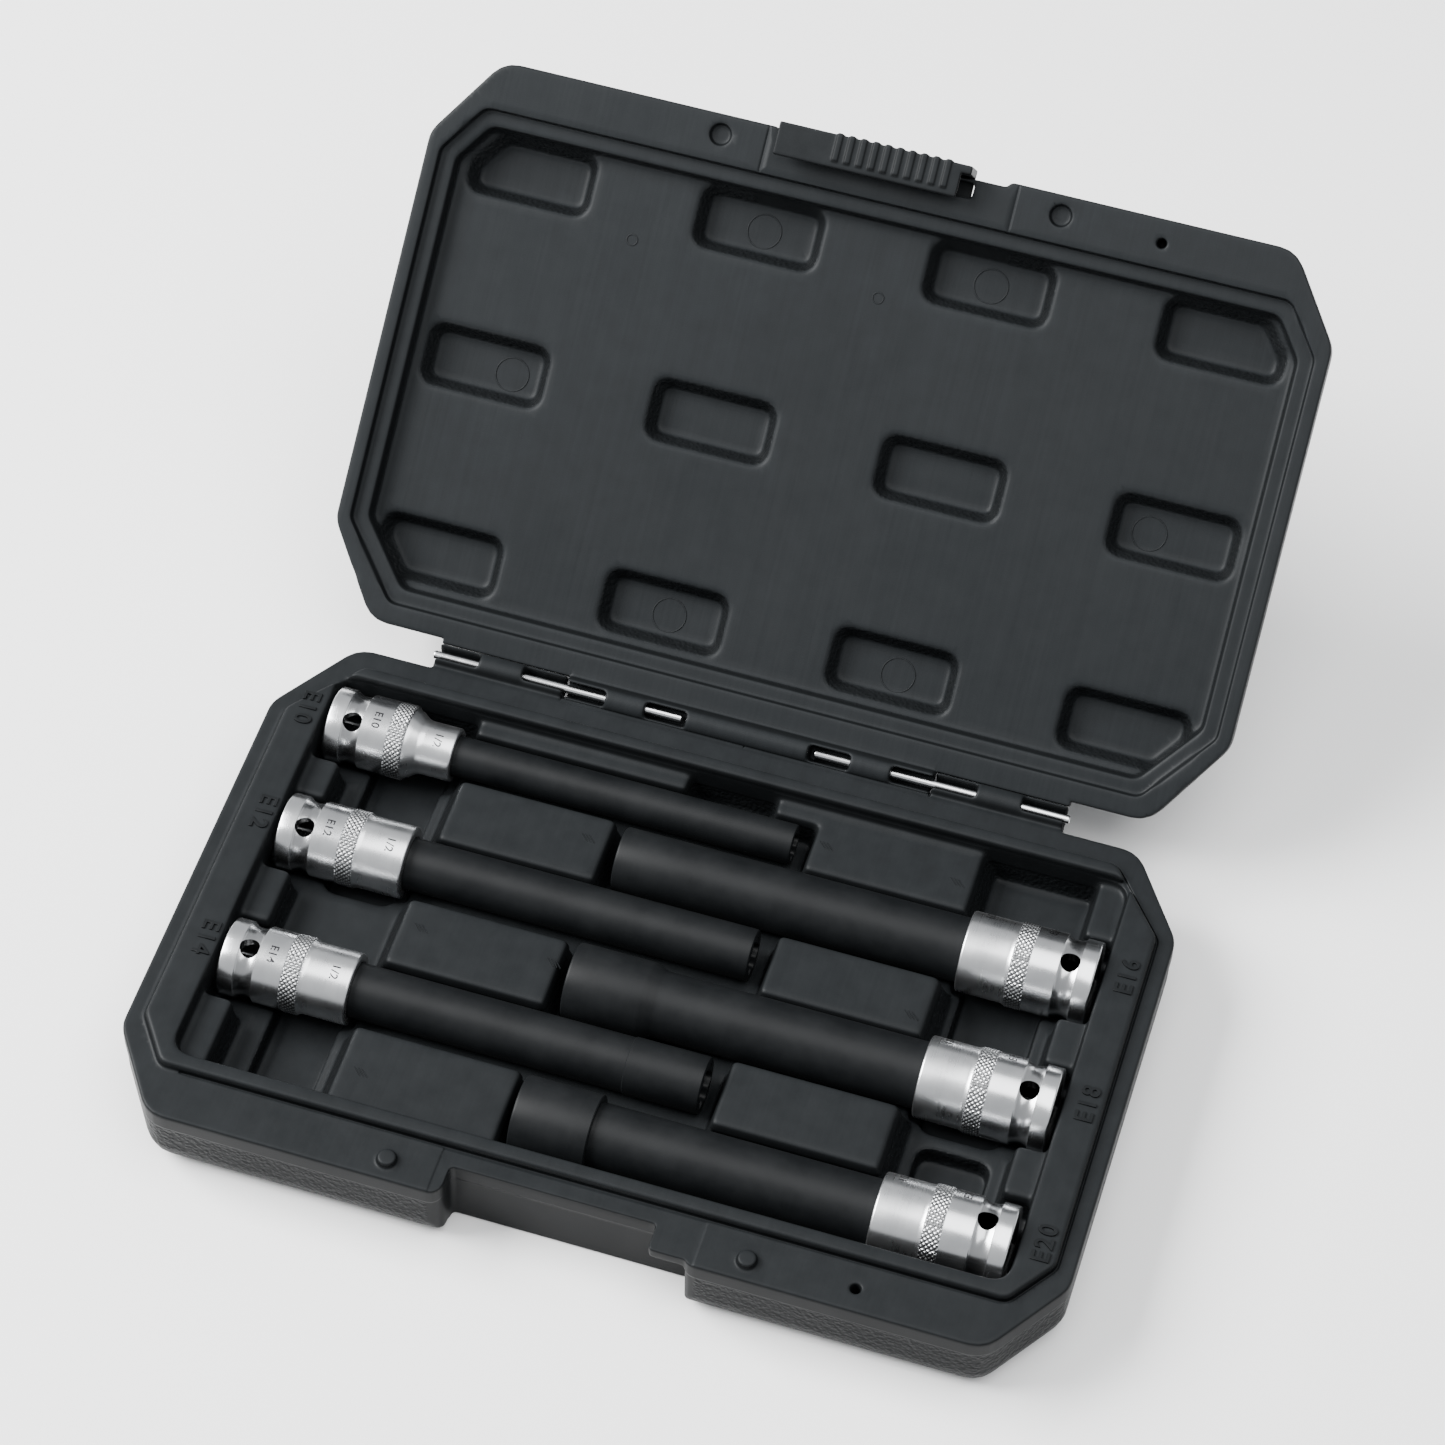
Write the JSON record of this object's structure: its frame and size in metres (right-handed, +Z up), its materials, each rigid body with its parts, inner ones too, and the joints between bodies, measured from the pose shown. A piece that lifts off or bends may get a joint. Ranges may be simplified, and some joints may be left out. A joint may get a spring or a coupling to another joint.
{
  "type": "socket set in case",
  "caption": "Long external-star sockets lying head to tail in a moulded tray case, with a hinged lid held by two pins and a sliding latch.",
  "frame": {"origin": "centre of the flat underside of the case base", "axes": "+X along the lid hinge, +Y from the latch side towards the hinge, +Z up out of the tray"},
  "size_m": [0.271, 0.3153, 0.1394],
  "materials": {
    "case_plastic": "matt black blow-moulded polyethylene, pebble grain on the outer sides",
    "latch_plastic": "matt black injection-moulded plastic with finger ribs",
    "pin_steel": "bright drawn steel wire",
    "collar_chrome": "satin chrome with turned bands and a diamond-knurled ring",
    "shaft_black_steel": "black phosphated steel with a fine turned grain"
  },
  "bodies": {
    "base": {"case_base": "case_plastic", "hinge_pin_left": "pin_steel", "hinge_pin_right": "pin_steel"},
    "lid": {"case_lid": "case_plastic"},
    "latch": {"latch_slider": "latch_plastic"},
    "socket_e10": {"socket_e10_drive_collar": "collar_chrome", "socket_e10_star_shaft": "shaft_black_steel"},
    "socket_e12": {"socket_e12_drive_collar": "collar_chrome", "socket_e12_star_shaft": "shaft_black_steel"},
    "socket_e14": {"socket_e14_drive_collar": "collar_chrome", "socket_e14_star_shaft": "shaft_black_steel"},
    "socket_e16": {"socket_e16_drive_collar": "collar_chrome", "socket_e16_star_shaft": "shaft_black_steel"},
    "socket_e18": {"socket_e18_drive_collar": "collar_chrome", "socket_e18_star_shaft": "shaft_black_steel"},
    "socket_e20": {"socket_e20_drive_collar": "collar_chrome", "socket_e20_star_shaft": "shaft_black_steel"}
  },
  "joints": [
    {"name": "lid_hinge", "type": "hinge", "parent": "base", "child": "lid", "pos_m": [0, 0.089, 0.02445], "axis": [-1, 0, 0], "range_deg": [-141, 0]},
    {"name": "latch_slide", "type": "slide", "parent": "lid", "child": "latch", "axis": [-1, 0, 0], "range_m": [-0.0095, 0]},
    {"name": "socket_e10_lift", "type": "slide", "parent": "base", "child": "socket_e10", "axis": [0, 0, 1], "range_m": [0, 0.06]},
    {"name": "socket_e12_lift", "type": "slide", "parent": "base", "child": "socket_e12", "axis": [0, 0, 1], "range_m": [0, 0.06]},
    {"name": "socket_e14_lift", "type": "slide", "parent": "base", "child": "socket_e14", "axis": [0, 0, 1], "range_m": [0, 0.06]},
    {"name": "socket_e16_lift", "type": "slide", "parent": "base", "child": "socket_e16", "axis": [0, 0, 1], "range_m": [0, 0.06]},
    {"name": "socket_e18_lift", "type": "slide", "parent": "base", "child": "socket_e18", "axis": [0, 0, 1], "range_m": [0, 0.06]},
    {"name": "socket_e20_lift", "type": "slide", "parent": "base", "child": "socket_e20", "axis": [0, 0, 1], "range_m": [0, 0.06]}
  ]
}
